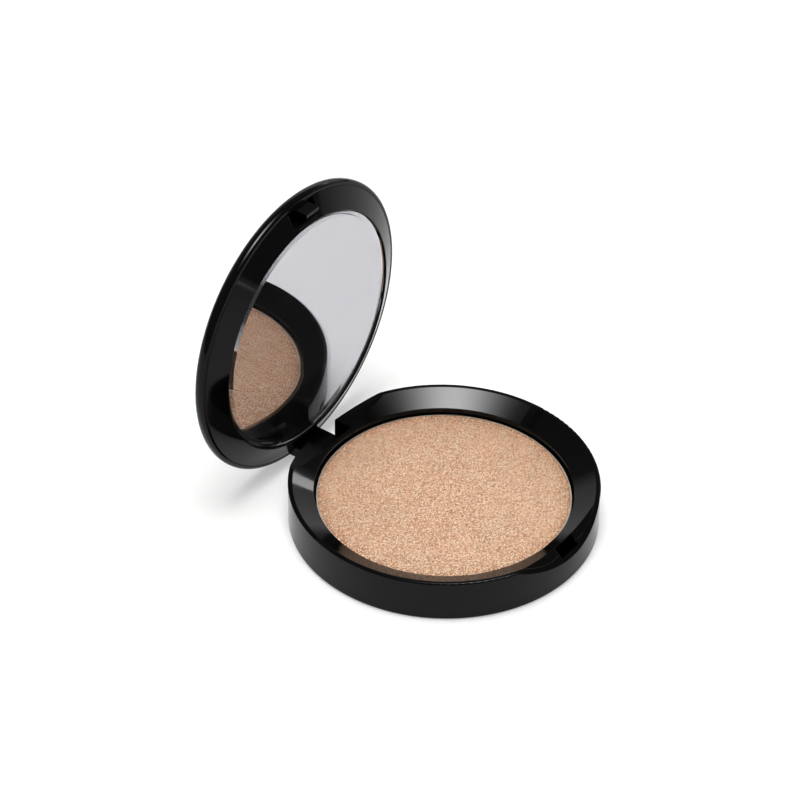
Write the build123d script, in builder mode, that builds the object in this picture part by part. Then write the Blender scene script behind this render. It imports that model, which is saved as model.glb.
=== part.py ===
from build123d import *
from math import cos, radians, sin, sqrt, tan
import os

# A round pressed-powder compact, in millimetres. The origin is the centre of the underside, +Z is up,
# the hinge is at the back (+Y) and the latch at the front (-Y). The lid stands open.

# Overall sizes
body_radius = 36.0  # outside of base and lid
rim_height = 10.6  # top of the base's rim above the table
open_angle = 90.0  # lid's swing from shut to the pose shown
seam = 0.05  # gap round a part that is pushed into its seat
overcut = 1.0  # how far a cutter runs past what it cuts

# Base shell
wall = 1.8
floor_thickness = 1.4
rim_land = 0.95  # width of the flat ring on top of the wall
ledge_depth = 2.4  # rebate in the rim that the tray's flange sits in
foot_round = 0.8
rim_round = 0.35
label_radius = 22.0
label_thickness = 0.12

# Pan and powder
pan_radius = 29.5  # the standard 59 mm pan
pan_height = 3.85
pan_gauge = 0.35
pan_round = 0.8
adhesive_radius = 20.0
adhesive_thickness = 0.2
powder_crown = 0.15  # rise of the cake's middle above its edge
powder_step = 0.05  # edge of the cake above the pan's rim
powder_chamfer = 0.3

# Tray frame: flange, funnel and well
pan_gap = 0.5  # round the pan in the well
well_wall = 0.9
well_lift = 0.1  # air under the well
well_floor = 0.9
funnel_rise = 1.45  # funnel's lower edge above the pan's rim
funnel_foot_round = 0.2
flange_thickness = 1.3

# Cuts across the rim
thumb_inset = 4.0  # the thumb facet leaves the rim this far inside the wall
thumb_slope = 45.0
shelf_run = 3.1  # hinge shelf, from the funnel out to the hinge axis
shelf_fall = 3.5  # degrees the shelf falls towards the back

# Hinge
hinge_inset = 2.6  # hinge axis inside the wall's surface
hinge_z = 2.7
pin_radius = 0.75
pin_fit = 0.01  # pin in the shell's ears
pin_running = 0.05  # pin in the lid's knuckle
pin_recess = 0.5  # pin's end below the wall's surface
pin_chamfer = 0.2
knuckle_wall = 0.8
arm_width = 9.4
arm_inside = 1.2  # arm's inner face from the hinge axis
arm_gap = 0.5  # each side of the arm in the notch
notch_gap = 0.6  # between the knuckle and the notch's front edge
tray_notch_lead = 0.35  # tray's notch starts this far before the shell's
ear_width = 4.0
ear_height = 5.6
ear_reach = 2.0  # ear's front face from the hinge axis

# Lid shell
lid_rim_gap = 0.15  # between the lid's rim and the base's rim when shut
lid_rim_drop = 1.1  # bottom of the lid's rim below the lid's widest line
lid_rim_width = 1.1
lid_top_wall = 1.4
lid_crown = 0.7  # rise of the lid's middle
lid_shoulder = 2.1  # top face at the shoulder above the widest line
lid_shoulder_inset = 2.6  # shoulder inside the widest line

# Mirror frame, mirror and tape
lip_overhang = 0.5  # frame's inner lip inside the well
lip_gap = 0.25  # between the lip and the funnel's lower edge when shut
lip_round = 0.2
mirror_recess = 0.25  # mirror's face below the lip
mirror_gap = 0.15  # round the mirror's edge
mirror_thickness = 1.2
bevel_width = 1.4
bevel_depth = 0.3
silver_thickness = 0.08
tape_thickness = 0.4
tape_margin = 1.0
frame_floor = 0.8
frame_thickness = 1.1

# Latch
hook_width = 4.4
hook_thickness = 0.9
hook_inset = 2.1  # middle of the hook's plate inside the lid's widest line
hook_reach = 4.8  # hook's tip below the lid's widest line
hook_bead = 0.25  # claw on the hook's inner face
hook_bead_length = 0.75
window_width = 9.0
window_inner_gap = 2.4  # window's edges from the hook's faces
window_outer_gap = 0.15
rib_width = 6.4
rib_thickness = 0.7
rib_height = 0.2
catch_width = 6.4
catch_inner_gap = 0.45  # catch's walls from the hook's faces
catch_outer_gap = 0.8
catch_depth_gap = 0.8  # catch's floor below the hook's tip when shut

# Base sizes that follow
ledge_height = rim_height - ledge_depth
tray_radius = body_radius - rim_land - seam
tray_top = rim_height - seam
well_radius = pan_radius + pan_gap
well_bottom = floor_thickness + well_lift
well_top = well_bottom + well_floor
pan_bottom = well_top + adhesive_thickness
pan_top = pan_bottom + pan_height
pan_inside = pan_radius - pan_gauge
powder_bottom = pan_bottom + pan_gauge
funnel_foot = pan_top + funnel_rise
funnel_slope = (tray_top - funnel_foot) / (tray_radius - well_radius)
hinge_y = body_radius - hinge_inset
knuckle_radius = pin_radius + pin_running + knuckle_wall
notch_half = arm_width / 2 + arm_gap
notch_front = hinge_y - knuckle_radius - notch_gap
ear_front = hinge_y - ear_reach
pin_left = -(notch_half + ear_width - pin_recess)
pin_right = sqrt(body_radius**2 - (hinge_y + pin_radius) ** 2) - pin_recess

# Lid sizes that follow, down from the lid's widest line
lid_edge_height = rim_height + lid_rim_gap + lid_rim_drop
hinge_drop = lid_edge_height - hinge_z
lid_shoulder_radius = body_radius - lid_shoulder_inset
lid_inner_radius = body_radius - lid_rim_width
lid_inner_top = lid_top_wall - lid_shoulder
lid_root = lid_inner_top - lid_top_wall / 2  # the arm and the hook start inside the lid's wall
lip_drop = lid_edge_height - funnel_foot - lip_gap
frame_radius = lid_inner_radius - seam
frame_inner_radius = well_radius - lip_overhang
frame_slope = (lip_drop - lid_rim_drop) / (frame_radius - frame_inner_radius)
mirror_radius = frame_inner_radius - mirror_gap
mirror_face = lip_drop - mirror_recess
mirror_back = mirror_face - mirror_thickness
silver_back = mirror_back - silver_thickness
tape_back = silver_back - tape_thickness
frame_back = tape_back - frame_floor

# Latch sizes that follow
hook_inner = body_radius - hook_inset - hook_thickness / 2
hook_outer = hook_inner + hook_thickness
window_inner = hook_inner - window_inner_gap
window_outer = hook_outer + window_outer_gap
catch_inner = hook_inner - catch_inner_gap
catch_outer = hook_outer + catch_outer_gap
catch_floor = lid_edge_height - hook_reach - catch_depth_gap

# In every profile that is turned about an axis, X is the radius and Y the height, or on the lid the drop.
# The lid is drawn on its own plane: X across, Y away from the hinge, Z towards the base, with the widest
# line at zero. That plane is swung open about the hinge.
shut_plane = Plane(origin=(0, 0, lid_edge_height), x_dir=(1, 0, 0), z_dir=(0, 0, -1))
swing = Pos(0, hinge_y, hinge_z) * Rot(-open_angle, 0, 0) * Pos(0, -hinge_y, -hinge_z)
lid_plane = Plane(swing * shut_plane.location)
lid_section = Plane(lid_plane.origin, x_dir=lid_plane.x_dir, z_dir=-lid_plane.y_dir)
lid_side = Plane(lid_plane.origin, x_dir=lid_plane.y_dir, z_dir=lid_plane.x_dir)
lid_axis = Axis(lid_plane.origin, lid_plane.z_dir)
half_rise = 0.75  # a shallow arc has three quarters of its rise at half its span

os.makedirs("parts", exist_ok=True)

# Cutter for the thumb facet: everything outside a plane that falls away to the front.
thumb_chord = body_radius - thumb_inset
facet_run = thumb_inset + overcut
facet_drop = facet_run * tan(radians(thumb_slope))
with BuildPart() as thumb_cut:
    with BuildSketch(Plane.YZ) as thumb_profile:
        with BuildLine():
            Polyline(
                (-thumb_chord, rim_height),
                (-thumb_chord - facet_run, rim_height - facet_drop),
                (-thumb_chord - facet_run, rim_height + facet_drop),
                (-thumb_chord + facet_run, rim_height + facet_drop),
                close=True,
            )
        make_face()
    extrude(amount=body_radius, both=True)

# Cutter for the hinge shelf: a shallow trough that runs out over the wall, so that the lid's ring can
# swing back over the rim.
shelf_chord = hinge_y - shelf_run
trough_depth = tray_top - (funnel_foot + funnel_slope * (shelf_chord - well_radius))
trough_half = sqrt(tray_radius**2 - shelf_chord**2)
shelf_plane = Plane(
    origin=(0, shelf_chord, tray_top),
    x_dir=(-1, 0, 0),
    z_dir=(0, cos(radians(shelf_fall)), -sin(radians(shelf_fall))),
)
with BuildPart() as shelf_cut:
    with BuildSketch(shelf_plane) as shelf_profile:
        with BuildLine():
            ThreePointArc((-trough_half, 0), (0, -trough_depth), (trough_half, 0))
            Polyline(
                (trough_half, 0),
                (trough_half + overcut, overcut),
                (-trough_half - overcut, overcut),
                (-trough_half, 0),
            )
        make_face()
    extrude(amount=body_radius)

# Base shell: cup with a rebated rim, ears for the hinge pin and the notch that the lid's arm swings in.
with BuildPart() as base_shell:
    with BuildSketch(Plane.XZ) as shell_profile:
        with BuildLine():
            Polyline(
                (0, label_thickness),
                (label_radius + seam, label_thickness),
                (label_radius + seam, 0),
                (body_radius, 0),
                (body_radius, rim_height),
                (body_radius - rim_land, rim_height),
                (body_radius - rim_land, ledge_height),
                (body_radius - wall, ledge_height),
                (body_radius - wall, floor_thickness),
                (0, floor_thickness),
                close=True,
            )
        make_face()
        fillet(shell_profile.vertices().group_by(Axis.X)[-1].sort_by(Axis.Y)[0], foot_round)
        fillet(shell_profile.vertices().group_by(Axis.X)[-1].sort_by(Axis.Y)[-1], rim_round)
    revolve(axis=Axis.Z)
    with BuildSketch(Plane.XY.offset(floor_thickness)):
        with Locations((0, ear_front)):
            Rectangle(2 * (notch_half + ear_width), body_radius, align=(Align.CENTER, Align.MIN))
        Circle(body_radius - wall / 2, mode=Mode.INTERSECT)
    extrude(amount=ear_height - floor_thickness)
    with BuildSketch(Plane.XY):
        with Locations((0, notch_front)):
            Rectangle(2 * notch_half, body_radius, align=(Align.CENTER, Align.MIN))
    extrude(amount=rim_height, mode=Mode.SUBTRACT)
    add(shelf_cut.part, mode=Mode.SUBTRACT)
    add(thumb_cut.part, mode=Mode.SUBTRACT)
    with BuildSketch(Plane.XY.offset(catch_floor)):
        with Locations((0, -catch_inner)):
            Rectangle(catch_width, catch_outer - catch_inner, align=(Align.CENTER, Align.MAX))
    extrude(amount=rim_height, mode=Mode.SUBTRACT)
    with BuildSketch(Plane.YZ.offset(pin_left)):
        with Locations((hinge_y, hinge_z)):
            Circle(pin_radius + pin_fit)
    extrude(amount=body_radius, mode=Mode.SUBTRACT)
base_shell.part.label = "base_shell"
export_step(base_shell.part, "parts/base_shell.step")

# Tray frame: flange in the rim's rebate, funnel down to the well, and the well that holds the pan.
with BuildPart() as tray_frame:
    with BuildSketch(Plane.XZ) as tray_profile:
        with BuildLine():
            Polyline(
                (0, well_bottom),
                (well_radius + well_wall, well_bottom),
                (well_radius + well_wall, funnel_foot - flange_thickness),
                (body_radius - wall, ledge_height),
                (tray_radius, ledge_height),
                (tray_radius, tray_top),
                (well_radius, funnel_foot),
                (well_radius, well_top),
                (0, well_top),
                close=True,
            )
        make_face()
        well_corners = tray_profile.vertices().filter_by_position(Axis.X, pan_radius, well_radius + seam)
        fillet(well_corners.sort_by(Axis.Y)[-1], funnel_foot_round)
    revolve(axis=Axis.Z)
    with BuildSketch(Plane.XY):
        with Locations((0, notch_front - tray_notch_lead)):
            Rectangle(2 * notch_half, body_radius, align=(Align.CENTER, Align.MIN))
    extrude(amount=rim_height, mode=Mode.SUBTRACT)
    add(shelf_cut.part, mode=Mode.SUBTRACT)
    add(thumb_cut.part, mode=Mode.SUBTRACT)
    with BuildSketch(Plane.XY.offset(catch_floor)):
        with Locations((0, -catch_inner)):
            Rectangle(catch_width, catch_outer - catch_inner, align=(Align.CENTER, Align.MAX))
    extrude(amount=rim_height, mode=Mode.SUBTRACT)
tray_frame.part.label = "tray_frame"
export_step(tray_frame.part, "parts/tray_frame.step")

# Hinge pin: a straight steel pin driven in from the right-hand side of the wall.
with BuildPart() as hinge_pin:
    with BuildSketch(Plane.YZ.offset(pin_left + pin_fit)):
        with Locations((hinge_y, hinge_z)):
            Circle(pin_radius)
    extrude(amount=pin_right - pin_left - pin_fit)
    chamfer(hinge_pin.edges().filter_by(GeomType.CIRCLE), pin_chamfer)
hinge_pin.part.label = "hinge_pin"
export_step(hinge_pin.part, "parts/hinge_pin.step")

# Pan: drawn aluminium cup.
with BuildPart() as pan:
    with BuildSketch(Plane.XZ) as pan_profile:
        with BuildLine():
            Polyline(
                (0, pan_bottom),
                (pan_radius, pan_bottom),
                (pan_radius, pan_top),
                (pan_inside, pan_top),
                (pan_inside, powder_bottom),
                (0, powder_bottom),
                close=True,
            )
        make_face()
        fillet(pan_profile.vertices().group_by(Axis.X)[-1].sort_by(Axis.Y)[0], pan_round)
    revolve(axis=Axis.Z)
pan.part.label = "pan"
export_step(pan.part, "parts/pan.step")

# Powder cake: pressed into the pan, with a slightly crowned top and a broken edge.
cake_edge = pan_top + powder_step
cake_radius = pan_inside - powder_chamfer
with BuildPart() as powder_cake:
    with BuildSketch(Plane.XZ) as cake_profile:
        with BuildLine():
            Polyline(
                (0, cake_edge + powder_crown),
                (0, powder_bottom),
                (pan_inside, powder_bottom),
                (pan_inside, cake_edge - powder_chamfer),
                (cake_radius, cake_edge),
            )
            Spline(
                (cake_radius, cake_edge),
                (0, cake_edge + powder_crown),
                tangents=[(-1, 2 * powder_crown / cake_radius), (-1, 0)],
            )
        make_face()
    revolve(axis=Axis.Z)
powder_cake.part.label = "powder_cake"
export_step(powder_cake.part, "parts/powder_cake.step")

# Adhesive disc that holds the pan in the well.
with BuildPart() as pan_adhesive:
    with BuildSketch(Plane.XY.offset(well_top)):
        Circle(adhesive_radius)
    extrude(amount=adhesive_thickness)
pan_adhesive.part.label = "pan_adhesive"
export_step(pan_adhesive.part, "parts/pan_adhesive.step")

# Blank label, flush in its recess in the underside.
with BuildPart() as underside_label:
    with BuildSketch(Plane.XY):
        Circle(label_radius)
    extrude(amount=label_thickness)
underside_label.part.label = "underside_label"
export_step(underside_label.part, "parts/underside_label.step")

# Lid shell: domed cover with a rounded edge, the hinge arm with its knuckle, and the latch hook.
shoulder_fall = 2 * lid_crown / lid_shoulder_radius
with BuildPart() as lid_shell:
    with BuildSketch(lid_section) as lid_profile:
        with BuildLine():
            ThreePointArc(
                (0, -lid_shoulder - lid_crown),
                (lid_shoulder_radius / 2, -lid_shoulder - half_rise * lid_crown),
                (lid_shoulder_radius, -lid_shoulder),
            )
            Spline(
                (lid_shoulder_radius, -lid_shoulder),
                (body_radius, 0),
                tangents=[(1, shoulder_fall), (0, 1)],
            )
            Spline((body_radius, 0), (lid_inner_radius, lid_rim_drop), tangents=[(0, 1), (-1, 0)])
            Polyline(
                (lid_inner_radius, lid_rim_drop),
                (lid_inner_radius, lid_inner_top),
                (lid_shoulder_radius, lid_inner_top),
            )
            ThreePointArc(
                (lid_shoulder_radius, lid_inner_top),
                (lid_shoulder_radius / 2, lid_inner_top - half_rise * lid_crown),
                (0, lid_inner_top - lid_crown),
            )
            Line((0, lid_inner_top - lid_crown), (0, -lid_shoulder - lid_crown))
        make_face()
    revolve(axis=lid_axis)
    with BuildSketch(lid_side):
        with BuildLine():
            Polyline(
                (-hinge_y - knuckle_radius, lid_root),
                (-hinge_y + arm_inside, lid_root),
                (-hinge_y + arm_inside, hinge_drop),
                (-hinge_y - knuckle_radius, hinge_drop),
                close=True,
            )
        make_face()
        with Locations((-hinge_y, hinge_drop)):
            Circle(knuckle_radius)
    extrude(amount=arm_width / 2, both=True)
    with BuildSketch(lid_side):
        with Locations((-hinge_y, hinge_drop)):
            Circle(pin_radius + pin_running)
    extrude(amount=arm_width, both=True, mode=Mode.SUBTRACT)
    with BuildSketch(lid_side):
        with BuildLine():
            Polyline(
                (hook_inner, lid_root),
                (hook_outer, lid_root),
                (hook_outer, hook_reach),
                (hook_inner, hook_reach),
                (hook_inner - hook_bead, hook_reach - hook_bead),
                (hook_inner, hook_reach - hook_bead_length),
                close=True,
            )
        make_face()
    extrude(amount=hook_width / 2, both=True)
lid_shell.part.label = "lid_shell"
export_step(lid_shell.part, "parts/lid_shell.step")

# Mirror frame: a dish that fills the lid. Its sloping ring nests in the funnel when the lid is shut.
frame_step = frame_inner_radius + frame_thickness
frame_wall = frame_radius - frame_thickness
step_drop = lip_drop - frame_slope * frame_thickness - frame_thickness
wall_drop = lid_rim_drop + frame_slope * frame_thickness - frame_thickness
rib_inner = window_inner - rib_thickness
rib_inner_drop = lip_drop - frame_slope * (rib_inner - frame_inner_radius) + rib_height
rib_outer_drop = lip_drop - frame_slope * (window_inner - frame_inner_radius) + rib_height
with BuildPart() as mirror_frame:
    with BuildSketch(lid_section) as frame_profile:
        with BuildLine():
            Polyline(
                (0, tape_back),
                (0, frame_back),
                (frame_step, frame_back),
                (frame_step, step_drop),
                (frame_wall, wall_drop),
                (frame_wall, lid_inner_top + seam),
                (frame_radius, lid_inner_top + seam),
                (frame_radius, lid_rim_drop),
                (frame_inner_radius, lip_drop),
                (frame_inner_radius, tape_back),
                close=True,
            )
        make_face()
        fillet(frame_profile.vertices().sort_by(Axis.Y)[-1], lip_round)
    revolve(axis=lid_axis)
    with BuildSketch(lid_side):
        with BuildLine():
            Polyline(
                (rib_inner, frame_back),
                (window_inner, frame_back),
                (window_inner, rib_outer_drop),
                (rib_inner, rib_inner_drop),
                close=True,
            )
        make_face()
    extrude(amount=rib_width / 2, both=True)
    with BuildSketch(lid_plane.offset(lid_inner_top)):
        with Locations((0, window_inner)):
            Rectangle(window_width, window_outer - window_inner, align=(Align.CENTER, Align.MIN))
        with Locations((0, -hinge_y + arm_inside + window_outer_gap)):
            Rectangle(arm_width + 2 * window_outer_gap, body_radius, align=(Align.CENTER, Align.MAX))
    extrude(amount=lip_drop - lid_inner_top + overcut, mode=Mode.SUBTRACT)
mirror_frame.part.label = "mirror_frame"
export_step(mirror_frame.part, "parts/mirror_frame.step")

# Mirror glass: round plate with a ground bevel.
with BuildPart() as mirror_glass:
    with BuildSketch(lid_section):
        with BuildLine():
            Polyline(
                (0, mirror_back),
                (mirror_radius, mirror_back),
                (mirror_radius, mirror_face - bevel_depth),
                (mirror_radius - bevel_width, mirror_face),
                (0, mirror_face),
                close=True,
            )
        make_face()
    revolve(axis=lid_axis)
mirror_glass.part.label = "mirror_glass"
export_step(mirror_glass.part, "parts/mirror_glass.step")

# Silvering: the reflecting coat and its paint on the back of the glass.
with BuildPart() as mirror_silvering:
    with BuildSketch(lid_plane.offset(silver_back)):
        Circle(mirror_radius)
    extrude(amount=silver_thickness)
mirror_silvering.part.label = "mirror_silvering"
export_step(mirror_silvering.part, "parts/mirror_silvering.step")

# Double-sided foam tape between the mirror and its frame.
with BuildPart() as mirror_tape:
    with BuildSketch(lid_plane.offset(tape_back)):
        Circle(mirror_radius - tape_margin)
    extrude(amount=tape_thickness)
mirror_tape.part.label = "mirror_tape"
export_step(mirror_tape.part, "parts/mirror_tape.step")
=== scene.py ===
import math

import bmesh
import bpy
from bpy.props import FloatProperty, FloatVectorProperty, IntProperty, PointerProperty
from mathutils import Matrix, Vector, noise


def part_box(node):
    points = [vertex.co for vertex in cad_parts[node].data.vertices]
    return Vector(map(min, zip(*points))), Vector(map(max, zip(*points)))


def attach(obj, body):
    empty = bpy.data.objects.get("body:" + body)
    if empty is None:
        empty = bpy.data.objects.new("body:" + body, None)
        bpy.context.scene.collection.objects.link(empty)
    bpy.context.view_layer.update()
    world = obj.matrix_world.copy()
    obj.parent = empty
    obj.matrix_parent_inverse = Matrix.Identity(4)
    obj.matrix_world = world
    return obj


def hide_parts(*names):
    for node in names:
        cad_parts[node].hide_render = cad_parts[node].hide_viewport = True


bl_info = {
    "name": "Powder compact",
    "version": (1, 0, 0),
    "blender": (4, 5, 0),
    "location": "3D View > Sidebar > Compact",
    "description": "Gives a round pressed-powder compact its surfaces, powder cake and studio",
    "category": "Object",
}

# The frame is in metres: +Z up, the hinge at +Y, the lid open. Everything is placed from it.
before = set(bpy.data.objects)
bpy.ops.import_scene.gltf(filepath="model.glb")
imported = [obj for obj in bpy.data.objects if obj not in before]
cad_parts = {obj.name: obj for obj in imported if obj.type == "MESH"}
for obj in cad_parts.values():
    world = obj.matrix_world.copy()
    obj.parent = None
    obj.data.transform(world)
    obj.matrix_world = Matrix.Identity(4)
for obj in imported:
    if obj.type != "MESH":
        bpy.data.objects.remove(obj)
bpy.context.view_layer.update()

MM = 0.001
WHITE = (1, 1, 1, 1)


def linear(hex_colour):
    """The linear RGB of an sRGB hex colour such as "#c9a184"."""
    channels = [int(hex_colour[i : i + 2], 16) / 255 for i in (1, 3, 5)]
    return tuple(c / 12.92 if c <= 0.04045 else ((c + 0.055) / 1.055) ** 2.4 for c in channels)


def opaque(colour):
    """A colour from a hex value or a setting, with the alpha that a socket wants."""
    return (*(linear(colour) if isinstance(colour, str) else colour), 1)


def per_metre(size_mm):
    """A texture scale that repeats about once every size_mm millimetres."""
    return 1 / (size_mm * MM)


def add_node(tree, kind, inputs=None, **settings):
    """Adds a node. inputs maps a socket's name or number to a value or to another node's output."""
    made = tree.nodes.new(kind)
    for name, value in settings.items():
        setattr(made, name, value)
    for socket, value in (inputs or {}).items():
        if isinstance(value, bpy.types.NodeSocket):
            tree.links.new(value, made.inputs[socket])
        else:
            made.inputs[socket].default_value = value
    return made


def new_material(name, constants):
    """A material with its shader's unchanging values set on the shader itself."""
    material = bpy.data.materials.new(name)
    material.use_nodes = True
    shader = material.node_tree.nodes["Principled BSDF"]
    for socket, value in constants.items():
        shader.inputs[socket].default_value = value
    return material, material.node_tree, shader


def new_emitter(name):
    """A material that only glows."""
    material = bpy.data.materials.new(name)
    material.use_nodes = True
    tree = material.node_tree
    tree.nodes.remove(tree.nodes["Principled BSDF"])
    glow = add_node(tree, "ShaderNodeEmission")
    tree.links.new(glow.outputs[0], tree.nodes["Material Output"].inputs["Surface"])
    return material, tree, glow


def feed(tree, shader, **outputs):
    """Joins outputs to the shader's sockets, named in lower case with underscores."""
    for socket, output in outputs.items():
        tree.links.new(output, shader.inputs[socket.replace("_", " ").title()])


def distance_from_axis(tree, place):
    """Distance from the piece's own upright axis, in metres."""
    flat = add_node(tree, "ShaderNodeVectorMath", {0: place, 1: (1, 1, 0)}, operation="MULTIPLY")
    reach = add_node(tree, "ShaderNodeVectorMath", {0: flat.outputs[0]}, operation="LENGTH")
    return reach.outputs["Value"]


def dress(node, material):
    """Gives a CAD node its material, and leaves its mesh as it is."""
    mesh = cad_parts[node].data
    mesh.materials.clear()
    mesh.materials.append(material)


def add_object(name, data, place=None):
    """Puts new data in the scene as an object."""
    made = bpy.data.objects.new(name, data)
    if place:
        made.matrix_world = place
    bpy.context.scene.collection.objects.link(made)
    return made


# ---------------------------------------------------------------- sizes and colours


class CompactPlasticSettings(bpy.types.PropertyGroup):
    """The black mouldings."""

    colour: FloatVectorProperty(
        name="Plastic", description="Colour of the black moulding compound",
        subtype="COLOR", min=0, max=1, default=linear("#09090a"),
    )
    ior: FloatProperty(
        name="IOR", description="How strongly the polished skin reflects",
        default=1.38, min=1.3, max=1.7,
    )
    ripple: FloatProperty(
        name="Ripple", description="Width of the mould's polishing ripple, in millimetres",
        default=7.0, min=1,
    )
    arris: FloatProperty(
        name="Arris", description="Rounding of the moulded edges, in millimetres",
        default=0.14, min=0,
    )
    speck: FloatProperty(
        name="Dust spacing", description="Mean spacing of dust specks, in millimetres",
        default=5.0, min=1,
    )


class CompactPowderSettings(bpy.types.PropertyGroup):
    """The pressed powder."""

    body: FloatVectorProperty(
        name="Powder", description="Colour of the pressed talc and pigment",
        subtype="COLOR", min=0, max=1, default=linear("#d5ae90"),
    )
    # Painted shade in the hollows between grains, laid over the grains' own uneven tone.
    shade: FloatVectorProperty(
        name="Shade", description="Colour in the hollows between grains",
        subtype="COLOR", min=0, max=1, default=linear("#a67c5f"),
    )
    bloom: FloatVectorProperty(
        name="Bloom", description="Colour of the warmer clouds in the pressed face",
        subtype="COLOR", min=0, max=1, default=linear("#ddb294"),
    )
    # Painted shade: the colour that the powder takes on towards the rim, darker and warmer.
    edge: FloatVectorProperty(
        name="Edge", description="Colour of the denser powder along the rim",
        subtype="COLOR", min=0, max=1, default=linear("#a9744f"),
    )
    flake: FloatVectorProperty(
        name="Mica", description="Colour of the mica flakes",
        subtype="COLOR", min=0, max=1, default=linear("#fdead3"),
    )
    grain: FloatProperty(
        name="Grain", description="Width of a pressed grain, in millimetres", default=0.4, min=0.05,
    )
    flake_size: FloatProperty(
        name="Flake", description="Width of a mica flake, in millimetres", default=0.24, min=0.05,
    )
    crown: FloatProperty(
        name="Crown", description="Rise of the cake's middle above its edge",
        default=0.15 * MM, unit="LENGTH",
    )
    chamfer: FloatProperty(
        name="Edge break", description="Width of the cake's broken edge",
        default=0.3 * MM, unit="LENGTH",
    )
    rings: IntProperty(
        name="Rings", description="Rings of faces from middle to edge", default=110, min=20,
    )
    segments: IntProperty(name="Segments", description="Faces round the cake", default=480, min=48)


class CompactMirrorSettings(bpy.types.PropertyGroup):
    """The mirror."""

    coat: FloatVectorProperty(
        name="Coat", description="Reflection colour of the metal coat behind the glass",
        subtype="COLOR", min=0, max=1, default=linear("#d2d0d4"),
    )
    glass: FloatVectorProperty(
        name="Glass", description="Tint of the float glass",
        subtype="COLOR", min=0, max=1, default=linear("#fafcfc"),
    )
    bite: FloatProperty(
        name="Bite", description="How far the coat reaches into the glass",
        default=0.02 * MM, unit="LENGTH",
    )
    segments: IntProperty(name="Segments", description="Faces round the coat", default=192, min=24)


class CompactStudioSettings(bpy.types.PropertyGroup):
    """Floor, lights and camera."""

    floor_radius: FloatProperty(
        name="Floor", description="Radius of the floor", default=2.4, unit="LENGTH",
    )
    table_glow: FloatProperty(
        name="Table", description="Glow of the table top from beneath", default=0.47, min=0,
    )
    softbox_height: FloatProperty(
        name="Softbox height", description="Height of the softbox", default=1.0, unit="LENGTH",
    )
    softbox_radius: FloatProperty(
        name="Softbox radius", description="Radius of the softbox", default=0.6, unit="LENGTH",
    )
    softbox_shift: FloatProperty(
        name="Softbox shift", description="Softbox's middle to the right",
        default=-0.07, unit="LENGTH",
    )
    softbox_spread: FloatProperty(
        name="Softbox spread", description="Distance over which its glow fades",
        default=0.175, unit="LENGTH",
    )
    softbox_glow: FloatProperty(
        name="Softbox", description="Brightness of the softbox's middle", default=20.5, min=0,
    )
    sweep_glow: FloatProperty(
        name="Sweep", description="Brightness of the paper sweep behind", default=1.05, min=0,
    )
    room_glow: FloatProperty(
        name="Room", description="Brightness of the rest of the room", default=0.22, min=0,
    )
    lamp_glow: FloatProperty(
        name="Lamp", description="Brightness of the small lamp beside the sweep",
        default=7.5, min=0,
    )
    lamp_radius: FloatProperty(
        name="Lamp radius", description="Radius of the small lamp", default=0.06, unit="LENGTH",
    )
    lamp_distance: FloatProperty(
        name="Lamp distance", description="Distance of the small lamp", default=1.2, unit="LENGTH",
    )
    lamp_bearing: FloatProperty(
        name="Lamp bearing", description="Small lamp's bearing from the back, towards the right",
        default=math.radians(87), subtype="ANGLE",
    )
    lamp_rise: FloatProperty(
        name="Lamp rise", description="Small lamp's height above the horizon",
        default=math.radians(24), subtype="ANGLE",
    )
    pool_power: FloatProperty(
        name="Pool", description="Power of the light on the floor in front",
        default=1.2, unit="POWER",
    )
    pool_width: FloatProperty(
        name="Pool width", description="Width of that light", default=0.35, unit="LENGTH",
    )
    pool_spread: FloatProperty(
        name="Pool spread", description="Spread of that light",
        default=math.radians(50), subtype="ANGLE",
    )
    pool_place: FloatVectorProperty(
        name="Pool place", description="Where that light hangs",
        default=(0.12, -1.3, 0.45), subtype="XYZ",
        unit="LENGTH",
    )
    contrast: FloatProperty(
        name="Contrast", description="Gamma of the view; under 1 deepens the blacks", default=0.8,
    )
    lens: FloatProperty(
        name="Lens", description="Focal length of the camera", default=162.0, unit="CAMERA",
    )
    azimuth: FloatProperty(
        name="Azimuth", description="Camera's bearing from the front",
        default=math.radians(-53.93), subtype="ANGLE",
    )
    elevation: FloatProperty(
        name="Elevation", description="Camera's height above the horizon",
        default=math.radians(38.51), subtype="ANGLE",
    )
    roll: FloatProperty(
        name="Roll", description="Camera's turn about its own axis",
        default=math.radians(0.70), subtype="ANGLE",
    )
    distance: FloatProperty(
        name="Distance", description="Camera's distance", default=0.83433, unit="LENGTH",
    )
    aim_right: FloatProperty(
        name="Aim right", description="Camera's step to its right", default=-0.01009, unit="LENGTH",
    )
    aim_up: FloatProperty(
        name="Aim up", description="Camera's step upwards", default=0.02689, unit="LENGTH",
    )


# ---------------------------------------------------------------- materials
# Patterns are placed by each piece's Object coordinates, in metres, so they move with the piece.


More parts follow.
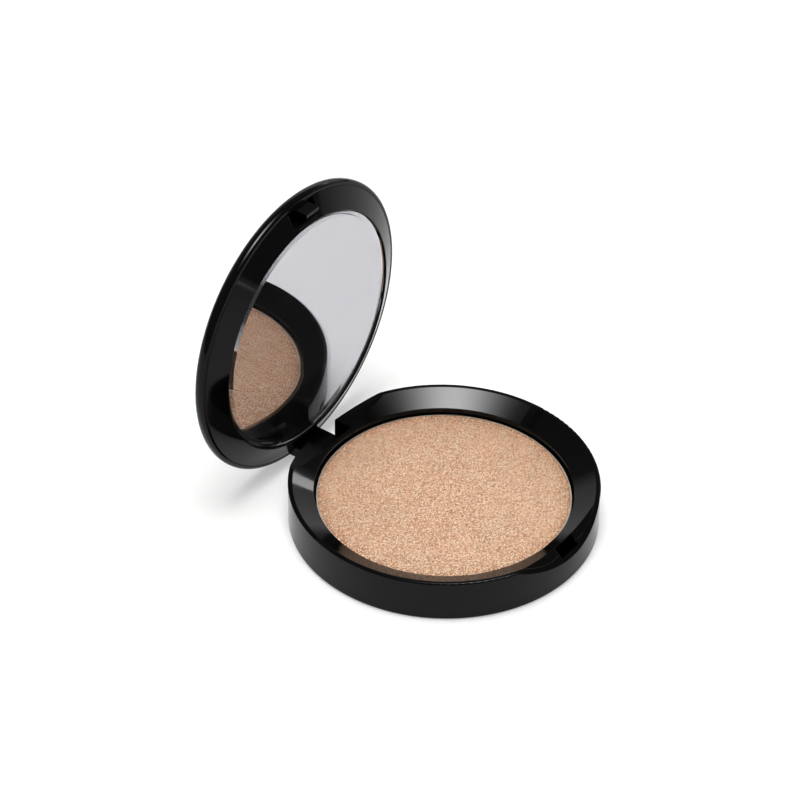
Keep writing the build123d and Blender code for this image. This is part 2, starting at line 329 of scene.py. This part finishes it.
def polished_black_abs(settings):
    """Black ABS moulded in a polished steel mould: deep black under a wet-looking skin, a slow
    ripple in its reflections where the mould was polished by hand, softened arrises, and a little
    settled dust."""
    material, tree, shader = new_material("polished_black_abs", {"IOR": settings.ior})
    place = add_node(tree, "ShaderNodeTexCoord").outputs["Object"]
    haze_width = 11
    haze = add_node(
        tree, "ShaderNodeTexNoise", {"Vector": place, "Scale": per_metre(haze_width), "Detail": 4.0}
    )
    clean = add_node(
        tree, "ShaderNodeMapRange",
        {
            "Value": haze.outputs["Fac"], "From Min": 0.3, "From Max": 0.7,
            "To Min": 0.035, "To Max": 0.085,
        },
    )
    # A speck sits in the middle of only a few cells, those with a high red. Most cells stay clean.
    cells = add_node(
        tree, "ShaderNodeTexVoronoi", {"Vector": place, "Scale": per_metre(settings.speck)}
    )
    cell = add_node(tree, "ShaderNodeSeparateColor", {"Color": cells.outputs["Color"]})
    speck_size = add_node(
        tree, "ShaderNodeMapRange",
        {
            "Value": cell.outputs["Red"], "From Min": 0.72, "From Max": 1.0,
            "To Min": 0.0, "To Max": 0.022,
        },
    )
    dusty = add_node(
        tree, "ShaderNodeMath",
        {0: cells.outputs["Distance"], 1: speck_size.outputs[0]}, operation="LESS_THAN",
    )
    colour = add_node(
        tree, "ShaderNodeMix",
        {0: dusty.outputs[0], 6: opaque(settings.colour), 7: opaque("#8d8a86")},
        data_type="RGBA",
    )
    rough = add_node(
        tree, "ShaderNodeMath", {0: dusty.outputs[0], 1: clean.outputs[0]}, operation="MAXIMUM"
    )
    arris = add_node(tree, "ShaderNodeBevel", {"Radius": settings.arris * MM}, samples=4)
    ripple = add_node(
        tree, "ShaderNodeTexNoise",
        {"Vector": place, "Scale": per_metre(settings.ripple), "Detail": 1.5},
    )
    bump = add_node(
        tree, "ShaderNodeBump",
        {
            "Height": ripple.outputs["Fac"], "Distance": 0.006 * MM,
            "Normal": arris.outputs["Normal"],
        },
    )
    feed(
        tree, shader, base_color=colour.outputs[2], roughness=rough.outputs[0],
        normal=bump.outputs[0],
    )
    return material


def pressed_shimmer_powder(settings):
    """Talc, pigment and mica pressed into a cake: matt warm grains of uneven tone, with painted
    shade in the hollows between them, and flat mica flakes, each tilted its own way, that catch the
    light one by one. Painted shade darkens and warms the powder towards the rim. Real grains and
    flakes are under 0.1 mm wide, so both are drawn coarser to show at all."""
    constants = {"Specular IOR Level": 0.35, "Sheen Weight": 0.08}
    material, tree, shader = new_material("pressed_shimmer_powder", constants)
    place = add_node(tree, "ShaderNodeTexCoord").outputs["Object"]
    grain = add_node(
        tree, "ShaderNodeTexNoise",
        {"Vector": place, "Scale": per_metre(settings.grain), "Detail": 3.0},
    )
    # Painted shade: the colour darkens where the grain height is low, in the hollows between
    # grains.
    grain_hollow_shade = add_node(
        tree, "ShaderNodeMapRange",
        {"Value": grain.outputs["Fac"], "From Min": 0.36, "From Max": 0.6},
    )
    matt = add_node(
        tree, "ShaderNodeMix",
        {0: grain_hollow_shade.outputs[0], 6: opaque(settings.shade), 7: opaque(settings.body)},
        data_type="RGBA",
    )
    cloud_width = 9
    cloud = add_node(
        tree, "ShaderNodeTexNoise",
        {"Vector": place, "Scale": per_metre(cloud_width), "Detail": 2.0},
    )
    warmth = add_node(
        tree, "ShaderNodeMapRange",
        {"Value": cloud.outputs["Fac"], "From Min": 0.35, "From Max": 0.7, "To Max": 0.25},
    )
    clouded = add_node(
        tree, "ShaderNodeMix",
        {0: warmth.outputs[0], 6: matt.outputs[2], 7: opaque(settings.bloom)},
        data_type="RGBA",
    )
    rim_shade_from, rim_shade_to = 26.0 * MM, 29.2 * MM  # where the painted shade towards the rim starts and is full
    # Painted shade: more and more of the rim colour is mixed in towards the rim.
    from_axis = distance_from_axis(tree, place)
    rim_shade_share = add_node(
        tree, "ShaderNodeMapRange",
        {"Value": from_axis, "From Min": rim_shade_from, "From Max": rim_shade_to, "To Max": 0.5},
    )
    rim_shaded_colour = add_node(
        tree, "ShaderNodeMix",
        {0: rim_shade_share.outputs[0], 6: clouded.outputs[2], 7: opaque(settings.edge)},
        data_type="RGBA",
    )
    flakes = add_node(
        tree, "ShaderNodeTexVoronoi", {"Vector": place, "Scale": per_metre(settings.flake_size)}
    )
    cell = add_node(tree, "ShaderNodeSeparateColor", {"Color": flakes.outputs["Color"]})
    glint = add_node(
        tree, "ShaderNodeMapRange",
        {"Value": cell.outputs["Red"], "From Min": 0.6, "From Max": 0.76},
    )
    colour = add_node(
        tree, "ShaderNodeMix",
        {0: glint.outputs[0], 6: rim_shaded_colour.outputs[2], 7: opaque(settings.flake)},
        data_type="RGBA",
    )
    metallic = add_node(tree, "ShaderNodeMapRange", {"Value": glint.outputs[0], "To Max": 0.55})
    rough = add_node(
        tree, "ShaderNodeMapRange", {"Value": glint.outputs[0], "To Min": 0.85, "To Max": 0.32}
    )
    bump = add_node(tree, "ShaderNodeBump", {"Height": grain.outputs["Fac"], "Distance": 0.05 * MM})
    # Each flake leans by its own cell's colour, moved so that its mean is no lean at all.
    mean_colour, most_lean = (0.5, 0.5, 0.5), (0.9, 0.9, 0.9)
    lean = add_node(
        tree, "ShaderNodeVectorMath",
        {0: flakes.outputs["Color"], 1: mean_colour}, operation="SUBTRACT",
    )
    leaning = add_node(
        tree, "ShaderNodeVectorMath", {0: lean.outputs[0], 1: most_lean, 2: bump.outputs["Normal"]},
        operation="MULTIPLY_ADD",
    )
    normal = add_node(tree, "ShaderNodeVectorMath", {0: leaning.outputs[0]}, operation="NORMALIZE")
    feed(
        tree, shader, base_color=colour.outputs[2], metallic=metallic.outputs[0],
        roughness=rough.outputs[0], normal=normal.outputs[0],
    )
    return material


def drawn_aluminium():
    """Aluminium sheet drawn into a cup: bright, with fine rings left by the drawing die. The rings
    are drawn coarser than the die's own marks, so that they show."""
    material, tree, shader = new_material("drawn_aluminium", {"Metallic": 1.0})
    place = add_node(tree, "ShaderNodeTexCoord").outputs["Object"]
    ring_width, stain_width = 0.12, 5
    rings = add_node(
        tree, "ShaderNodeTexNoise",
        {"W": distance_from_axis(tree, place), "Scale": per_metre(ring_width), "Detail": 2.0},
        noise_dimensions="1D",
    )
    stain = add_node(
        tree, "ShaderNodeTexNoise",
        {"Vector": place, "Scale": per_metre(stain_width), "Detail": 3.0},
    )
    colour = add_node(
        tree, "ShaderNodeMix",
        {0: stain.outputs["Fac"], 6: opaque("#f0e6da"), 7: opaque("#dccdbd")},
        data_type="RGBA",
    )
    rough = add_node(
        tree, "ShaderNodeMapRange", {"Value": rings.outputs["Fac"], "To Min": 0.38, "To Max": 0.56}
    )
    bump = add_node(
        tree, "ShaderNodeBump",
        {"Height": rings.outputs["Fac"], "Strength": 0.6, "Distance": 0.01 * MM},
    )
    feed(
        tree, shader, base_color=colour.outputs[2], roughness=rough.outputs[0],
        normal=bump.outputs[0],
    )
    return material


def drawn_steel_wire():
    """Stainless wire drawn through a die and cropped: bright grey, with fine lines along it."""
    material, tree, shader = new_material("drawn_steel_wire", {"Metallic": 1.0})
    line_width, line_stretch = 0.1, (0.05, 1, 1)
    place = add_node(tree, "ShaderNodeTexCoord").outputs["Object"]
    stretched = add_node(
        tree, "ShaderNodeVectorMath", {0: place, 1: line_stretch}, operation="MULTIPLY"
    )
    lines = add_node(
        tree, "ShaderNodeTexNoise",
        {"Vector": stretched.outputs[0], "Scale": per_metre(line_width), "Detail": 2.0},
    )
    colour = add_node(
        tree, "ShaderNodeMix",
        {0: lines.outputs["Fac"], 6: opaque("#a6a7aa"), 7: opaque("#d0d1d3")},
        data_type="RGBA",
    )
    rough = add_node(
        tree, "ShaderNodeMapRange", {"Value": lines.outputs["Fac"], "To Min": 0.16, "To Max": 0.34}
    )
    feed(tree, shader, base_color=colour.outputs[2], roughness=rough.outputs[0])
    return material


def float_glass(settings):
    """Clear float glass with a ground and polished bevel: nearly colourless, with the faintest
    smear of handling on its face."""
    constants = {"Transmission Weight": 1.0, "IOR": 1.52, "Base Color": opaque(settings.glass)}
    material, tree, shader = new_material("float_glass", constants)
    smear_width = 16
    place = add_node(tree, "ShaderNodeTexCoord").outputs["Object"]
    smear = add_node(
        tree, "ShaderNodeTexNoise",
        {"Vector": place, "Scale": per_metre(smear_width), "Detail": 3.0},
    )
    rough = add_node(
        tree, "ShaderNodeMapRange",
        {
            "Value": smear.outputs["Fac"], "From Min": 0.5, "From Max": 0.8,
            "To Min": 0.0, "To Max": 0.012,
        },
    )
    feed(tree, shader, roughness=rough.outputs[0])
    return material


def sputtered_mirror_coat(settings):
    """Metal sputtered on the back of the glass: a cool, slightly grey mirror with no visible
    texture, and a little haze that keeps its blacks from being quite black."""
    constants = {"Metallic": 0.95, "Roughness": 0.0}
    material, tree, shader = new_material("sputtered_mirror_coat", constants)
    cloud_width, dulling = 30, 0.97
    place = add_node(tree, "ShaderNodeTexCoord").outputs["Object"]
    cloud = add_node(
        tree, "ShaderNodeTexNoise",
        {"Vector": place, "Scale": per_metre(cloud_width), "Detail": 1.0},
    )
    dull = [channel * dulling for channel in settings.coat]
    colour = add_node(
        tree, "ShaderNodeMix", {0: cloud.outputs["Fac"], 6: opaque(settings.coat), 7: opaque(dull)},
        data_type="RGBA",
    )
    feed(tree, shader, base_color=colour.outputs[2])
    return material


def closed_cell_foam():
    """White closed-cell foam tape: matt, with small pits along its cut edge that hold painted
    shade.
    """
    material, tree, shader = new_material("closed_cell_foam", {"Roughness": 0.9})
    pit_width = 0.25
    place = add_node(tree, "ShaderNodeTexCoord").outputs["Object"]
    pits = add_node(
        tree, "ShaderNodeTexVoronoi", {"Vector": place, "Scale": per_metre(pit_width)}
    )
    # Painted shade: the colour is darker down in each pit, where the bump is lowest.
    colour = add_node(
        tree, "ShaderNodeMix",
        {0: pits.outputs["Distance"], 6: opaque("#dcdad4"), 7: opaque("#f1f0ec")},
        data_type="RGBA",
    )
    bump = add_node(
        tree, "ShaderNodeBump",
        {"Height": pits.outputs["Distance"], "Strength": 0.5, "Distance": 0.05 * MM},
    )
    feed(tree, shader, base_color=colour.outputs[2], normal=bump.outputs[0])
    return material


def acrylic_film():
    """Double-sided acrylic adhesive film: milky, slightly glossy, with a few trapped bubbles."""
    material, tree, shader = new_material("acrylic_film", {"IOR": 1.48})
    bubble_spacing = 1.5
    place = add_node(tree, "ShaderNodeTexCoord").outputs["Object"]
    bubbles = add_node(
        tree, "ShaderNodeTexVoronoi", {"Vector": place, "Scale": per_metre(bubble_spacing)}
    )
    colour = add_node(
        tree, "ShaderNodeMix",
        {0: bubbles.outputs["Distance"], 6: opaque("#e6e3da"), 7: opaque("#cfccc0")},
        data_type="RGBA",
    )
    rough = add_node(
        tree, "ShaderNodeMapRange",
        {"Value": bubbles.outputs["Distance"], "To Min": 0.25, "To Max": 0.45},
    )
    feed(tree, shader, base_color=colour.outputs[2], roughness=rough.outputs[0])
    return material


def coated_label_paper():
    """Coated label paper, left blank: white, with a slight sheen and a faint tooth of fibres."""
    material, tree, shader = new_material("coated_label_paper", {"IOR": 1.5})
    fibre_width = 0.4
    place = add_node(tree, "ShaderNodeTexCoord").outputs["Object"]
    fibres = add_node(
        tree, "ShaderNodeTexNoise",
        {"Vector": place, "Scale": per_metre(fibre_width), "Detail": 5.0},
    )
    colour = add_node(
        tree, "ShaderNodeMix",
        {0: fibres.outputs["Fac"], 6: opaque("#e2e1dd"), 7: opaque("#f0efec")},
        data_type="RGBA",
    )
    rough = add_node(
        tree, "ShaderNodeMapRange", {"Value": fibres.outputs["Fac"], "To Min": 0.42, "To Max": 0.58}
    )
    bump = add_node(
        tree, "ShaderNodeBump",
        {"Height": fibres.outputs["Fac"], "Strength": 0.4, "Distance": 0.01 * MM},
    )
    feed(
        tree, shader, base_color=colour.outputs[2], roughness=rough.outputs[0],
        normal=bump.outputs[0],
    )
    return material


def lit_opal_acrylic(settings):
    """Opal acrylic sheet lit softly from beneath, for the floor: even, matt, nearly shadowless."""
    constants = {
        "Roughness": 0.85, "Specular IOR Level": 0.2, "Emission Color": WHITE,
        "Emission Strength": settings.table_glow,
    }
    material, tree, shader = new_material("lit_opal_acrylic", constants)
    tone_width = 40
    place = add_node(tree, "ShaderNodeTexCoord").outputs["Object"]
    tone = add_node(
        tree, "ShaderNodeTexNoise",
        {"Vector": place, "Scale": per_metre(tone_width), "Detail": 2.0},
    )
    colour = add_node(
        tree, "ShaderNodeMix", {0: tone.outputs["Fac"], 6: opaque("#b9b9b8"), 7: opaque("#bdbdbc")},
        data_type="RGBA",
    )
    feed(tree, shader, base_color=colour.outputs[2])
    return material


# ---------------------------------------------------------------- pieces


def powder_relief(x, y, radius):
    """Height of the cake over its crowned shape, in metres: press waviness and coarse grains."""
    wave_width, wave_height = 9, 0.03 * MM
    grain_width, grain_height, grain_layer = 0.9, 0.012 * MM, 3 * MM
    edge_steepness = 12  # the relief dies out over the last twelfth of the radius
    wave = noise.noise(Vector((x, y, 0)) * per_metre(wave_width)) * wave_height
    grains = noise.noise(Vector((x, y, grain_layer)) * per_metre(grain_width)) * grain_height
    inside = (1 - math.hypot(x, y) / radius) * edge_steepness
    return (wave + grains) * max(0.0, min(1.0, inside))


def powder_profile(settings, radius, bottom, top):
    """Each ring's radius and height, from the cake's middle over the broken edge and down the
    side."""
    flat = radius - settings.chamfer
    edge = top - settings.crown
    points = []
    for i in range(1, settings.rings + 1):
        share = i / settings.rings
        points.append((flat * share, top - settings.crown * share**2))
    for share in (0.35, 0.7, 1.0):  # of the quarter turn round the broken edge
        angle = share * math.pi / 2
        drop = settings.chamfer * (1 - math.cos(angle))
        points.append((flat + settings.chamfer * math.sin(angle), edge - drop))
    points.append((radius, bottom))
    return points


def lathe(name, profile, segments, place=None, relief=None):
    """A closed mesh spun about +Z from each ring's radius and height. relief(x, y) lifts a
    point."""
    lift = relief or (lambda x, y: 0.0)
    turns = [2 * math.pi * i / segments for i in range(segments)]
    mesh = bmesh.new()
    middle = mesh.verts.new((0, 0, profile[0][1] + lift(0, 0)))
    inner = None
    for r, z in profile:
        spots = [(r * math.cos(turn), r * math.sin(turn)) for turn in turns]
        ring = [mesh.verts.new((x, y, z + lift(x, y))) for x, y in spots]
        for i in range(segments):
            j = (i + 1) % segments
            if inner is None:
                mesh.faces.new((middle, ring[i], ring[j]))
            else:
                mesh.faces.new((inner[i], ring[i], ring[j], inner[j]))
        inner = ring
    mesh.faces.new(list(reversed(inner)))
    for face in mesh.faces:
        face.smooth = relief is not None and len(face.verts) < 5
    bmesh.ops.recalc_face_normals(mesh, faces=mesh.faces)
    if place:
        mesh.transform(place)
    data = bpy.data.meshes.new(name)
    mesh.to_mesh(data)
    mesh.free()
    return add_object(name, data)


def build_powder_cake(settings):
    """The pressed cake as one closed mesh."""
    low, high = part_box("powder_cake")
    radius = (high.x - low.x) / 2
    profile = powder_profile(settings, radius, low.z, high.z)
    return lathe(
        "powder_cake_pressed", profile, settings.segments,
        relief=lambda x, y: powder_relief(x, y, radius),
    )


def build_mirror_coat(settings):
    """The metal coat as one closed disc with a feathered edge. It bites a hair into the glass, so
    that light meets the metal while it is still in the glass."""
    low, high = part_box("mirror_silvering")
    radius, front, back = (high.x - low.x) / 2, low.y - settings.bite, high.y
    middle = (low + high) / 2
    feather = 0.97 * radius  # where the coat starts to thin out
    tip = 0.999 * radius
    profile = [(radius * share, front) for share in (0.25, 0.5, 0.75)]
    profile += [(feather, front), (tip, (front + back) / 2), (feather, back)]
    place = Matrix.Translation((middle.x, 0, middle.z)) @ Matrix.Rotation(math.radians(-90), 4, "X")
    return lathe("mirror_coat", profile, settings.segments, place)


# ---------------------------------------------------------------- studio


def disc_object(name, radius, place, segments):
    """A flat disc, facing +Z."""
    mesh = bmesh.new()
    bmesh.ops.create_circle(mesh, cap_ends=True, radius=radius, segments=segments)
    data = bpy.data.meshes.new(name)
    mesh.to_mesh(data)
    mesh.free()
    return add_object(name, data, place)


def build_floor(settings):
    """The table top that the compact stands on."""
    floor = disc_object("floor", settings.floor_radius, Matrix.Identity(4), segments=128)
    floor.data.materials.append(lit_opal_acrylic(settings))
    return floor


def build_softbox(settings):
    """A round softbox overhead, brightest in its middle."""
    hung = Matrix.Translation((settings.softbox_shift, 0, settings.softbox_height))
    face_down = Matrix.Rotation(math.pi, 4, "X")
    softbox = disc_object("softbox", settings.softbox_radius, hung @ face_down, segments=96)
    material, tree, glow = new_emitter("softbox_diffuser")
    place = add_node(tree, "ShaderNodeTexCoord").outputs["Object"]
    reach = add_node(tree, "ShaderNodeVectorMath", {0: place}, operation="LENGTH")
    square = add_node(
        tree, "ShaderNodeMath", {0: reach.outputs["Value"], 1: 2.0}, operation="POWER"
    )
    rate = -1 / (2 * settings.softbox_spread**2)
    fall = add_node(tree, "ShaderNodeMath", {0: square.outputs[0], 1: rate}, operation="MULTIPLY")
    share = add_node(tree, "ShaderNodeMath", {0: fall.outputs[0]}, operation="EXPONENT")
    strength = add_node(
        tree, "ShaderNodeMath",
        {0: share.outputs[0], 1: settings.softbox_glow}, operation="MULTIPLY",
    )
    feed(tree, glow, strength=strength.outputs[0])
    softbox.data.materials.append(material)
    return softbox


def build_lamp(settings):
    """A small bare lamp beside the sweep, facing the object."""
    bearing, rise = settings.lamp_bearing, settings.lamp_rise
    level = math.cos(rise)
    toward = Vector((math.sin(bearing) * level, math.cos(bearing) * level, math.sin(rise)))
    turn = toward.to_track_quat("-Z", "Y").to_matrix().to_4x4()
    place = Matrix.Translation(toward * settings.lamp_distance) @ turn
    lamp = disc_object("lamp", settings.lamp_radius, place, segments=48)
    material, _, glow = new_emitter("lamp_glass")
    glow.inputs["Strength"].default_value = settings.lamp_glow
    lamp.data.materials.append(material)
    return lamp


def build_pool(settings):
    """A light of narrow spread over the floor in front, which leaves a soft pool of light there."""
    data = bpy.data.lights.new("pool", "AREA")
    data.shape = "DISK"
    data.size = settings.pool_width
    data.energy = settings.pool_power
    data.spread = settings.pool_spread
    add_object("pool", data, Matrix.Translation(settings.pool_place))


def build_room(settings):
    """A dim room, with a paper sweep behind the object, up to a quarter of the way overhead."""
    rises = (2, 6, 24, 30)  # degrees above the horizon at which the sweep starts, is lit, and ends
    foot_dark, foot_lit, top_lit, top_dark = (math.sin(math.radians(rise)) for rise in rises)
    side_dark, side_lit = 0.2, 0.6  # how far behind the object a direction points, from 0 to 1
    world = bpy.data.worlds.new("studio_room")
    world.use_nodes = True
    tree = world.node_tree
    direction = add_node(tree, "ShaderNodeTexCoord").outputs["Generated"]
    height = add_node(tree, "ShaderNodeSeparateXYZ", {0: direction}).outputs["Z"]
    below_top = add_node(
        tree, "ShaderNodeMapRange",
        {"Value": height, "From Min": top_lit, "From Max": top_dark, "To Min": 1.0, "To Max": 0.0},
    )
    above_foot = add_node(
        tree, "ShaderNodeMapRange", {"Value": height, "From Min": foot_dark, "From Max": foot_lit}
    )
    behind = (-math.sin(settings.azimuth), math.cos(settings.azimuth), 0)
    facing = add_node(
        tree, "ShaderNodeVectorMath", {0: direction, 1: behind}, operation="DOT_PRODUCT"
    )
    side = add_node(
        tree, "ShaderNodeMapRange",
        {"Value": facing.outputs["Value"], "From Min": side_dark, "From Max": side_lit},
    )
    band = add_node(
        tree, "ShaderNodeMath",
        {0: below_top.outputs[0], 1: above_foot.outputs[0]}, operation="MULTIPLY",
    )
    sweep = add_node(
        tree, "ShaderNodeMath", {0: band.outputs[0], 1: side.outputs[0]}, operation="MULTIPLY"
    )
    glow = add_node(
        tree, "ShaderNodeMapRange",
        {"Value": sweep.outputs[0], "To Min": settings.room_glow, "To Max": settings.sweep_glow},
    )
    background = tree.nodes["Background"]
    background.inputs["Color"].default_value = WHITE
    feed(tree, background, strength=glow.outputs[0])
    bpy.context.scene.world = world


def build_camera(settings):
    """The camera, at the bearing and height that the settings give."""
    a, e, r = settings.azimuth, settings.elevation, settings.roll
    back = Vector((math.sin(a) * math.cos(e), -math.cos(a) * math.cos(e), math.sin(e)))
    level = Vector((math.cos(a), math.sin(a), 0))
    upright = back.cross(level)
    right = level * math.cos(r) + upright * math.sin(r)
    up = upright * math.cos(r) - level * math.sin(r)
    data = bpy.data.cameras.new("camera")
    data.lens = settings.lens
    data.sensor_width = 36  # full frame, in millimetres
    turn = Matrix((right, up, back)).transposed().to_4x4()
    eye = back * settings.distance + right * settings.aim_right + up * settings.aim_up
    bpy.context.scene.camera = add_object("camera", data, Matrix.Translation(eye) @ turn)


# ---------------------------------------------------------------- operators


class COMPACT_OT_mouldings(bpy.types.Operator):
    """Finish the four black mouldings"""

    bl_idname = "compact.mouldings"
    bl_label = "Black mouldings"

    def execute(self, context):
        material = polished_black_abs(context.scene.compact_plastic)
        for node in ("base_shell", "tray_frame", "lid_shell", "mirror_frame"):
            dress(node, material)
        return {"FINISHED"}


class COMPACT_OT_hinge_pin(bpy.types.Operator):
    """Finish the hinge pin"""

    bl_idname = "compact.hinge_pin"
    bl_label = "Hinge pin"

    def execute(self, context):
        dress("hinge_pin", drawn_steel_wire())
        return {"FINISHED"}


class COMPACT_OT_pan(bpy.types.Operator):
    """Finish the pan and the film that holds it"""

    bl_idname = "compact.pan"
    bl_label = "Pan"

    def execute(self, context):
        dress("pan", drawn_aluminium())
        dress("pan_adhesive", acrylic_film())
        return {"FINISHED"}


class COMPACT_OT_powder(bpy.types.Operator):
    """Build the pressed powder cake"""

    bl_idname = "compact.powder"
    bl_label = "Powder cake"

    def execute(self, context):
        settings = context.scene.compact_powder
        cake = build_powder_cake(settings)
        cake.data.materials.append(pressed_shimmer_powder(settings))
        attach(cake, "base")
        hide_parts("powder_cake")
        return {"FINISHED"}


class COMPACT_OT_mirror(bpy.types.Operator):
    """Finish the mirror's glass, coat and tape"""

    bl_idname = "compact.mirror"
    bl_label = "Mirror"

    def execute(self, context):
        settings = context.scene.compact_mirror
        dress("mirror_glass", float_glass(settings))
        coat = build_mirror_coat(settings)
        coat.data.materials.append(sputtered_mirror_coat(settings))
        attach(coat, "lid")
        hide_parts("mirror_silvering")
        dress("mirror_tape", closed_cell_foam())
        return {"FINISHED"}


class COMPACT_OT_label(bpy.types.Operator):
    """Finish the blank label under the base"""

    bl_idname = "compact.label"
    bl_label = "Underside label"

    def execute(self, context):
        dress("underside_label", coated_label_paper())
        return {"FINISHED"}


class COMPACT_OT_stage(bpy.types.Operator):
    """Set the floor, the lights and the camera"""

    bl_idname = "compact.stage"
    bl_label = "Stage"

    def execute(self, context):
        settings = context.scene.compact_studio
        build_floor(settings)
        build_softbox(settings)
        build_lamp(settings)
        build_pool(settings)
        build_room(settings)
        build_camera(settings)
        context.scene.view_settings.view_transform = "Standard"
        context.scene.view_settings.gamma = settings.contrast
        return {"FINISHED"}


class COMPACT_PT_panel(bpy.types.Panel):
    """The steps that finish the compact, in order"""

    bl_idname = "COMPACT_PT_panel"
    bl_label = "Powder compact"
    bl_space_type = "VIEW_3D"
    bl_region_type = "UI"
    bl_category = "Compact"

    def draw(self, context):
        for operator in STEPS:
            self.layout.operator(operator.bl_idname)


STEPS = (
    COMPACT_OT_mouldings,
    COMPACT_OT_hinge_pin,
    COMPACT_OT_pan,
    COMPACT_OT_powder,
    COMPACT_OT_mirror,
    COMPACT_OT_label,
    COMPACT_OT_stage,
)
SETTINGS = {
    "compact_plastic": CompactPlasticSettings,
    "compact_powder": CompactPowderSettings,
    "compact_mirror": CompactMirrorSettings,
    "compact_studio": CompactStudioSettings,
}


def register():
    for name, group in SETTINGS.items():
        bpy.utils.register_class(group)
        setattr(bpy.types.Scene, name, PointerProperty(type=group))
    for made in (*STEPS, COMPACT_PT_panel):
        bpy.utils.register_class(made)


def unregister():
    for made in (COMPACT_PT_panel, *reversed(STEPS)):
        bpy.utils.unregister_class(made)
    for name, group in SETTINGS.items():
        delattr(bpy.types.Scene, name)
        bpy.utils.unregister_class(group)


def main():
    register()
    bpy.ops.compact.mouldings()
    bpy.ops.compact.hinge_pin()
    bpy.ops.compact.pan()
    bpy.ops.compact.powder()
    bpy.ops.compact.mirror()
    bpy.ops.compact.label()
    bpy.ops.compact.stage()


if __name__ == "__main__":
    main()
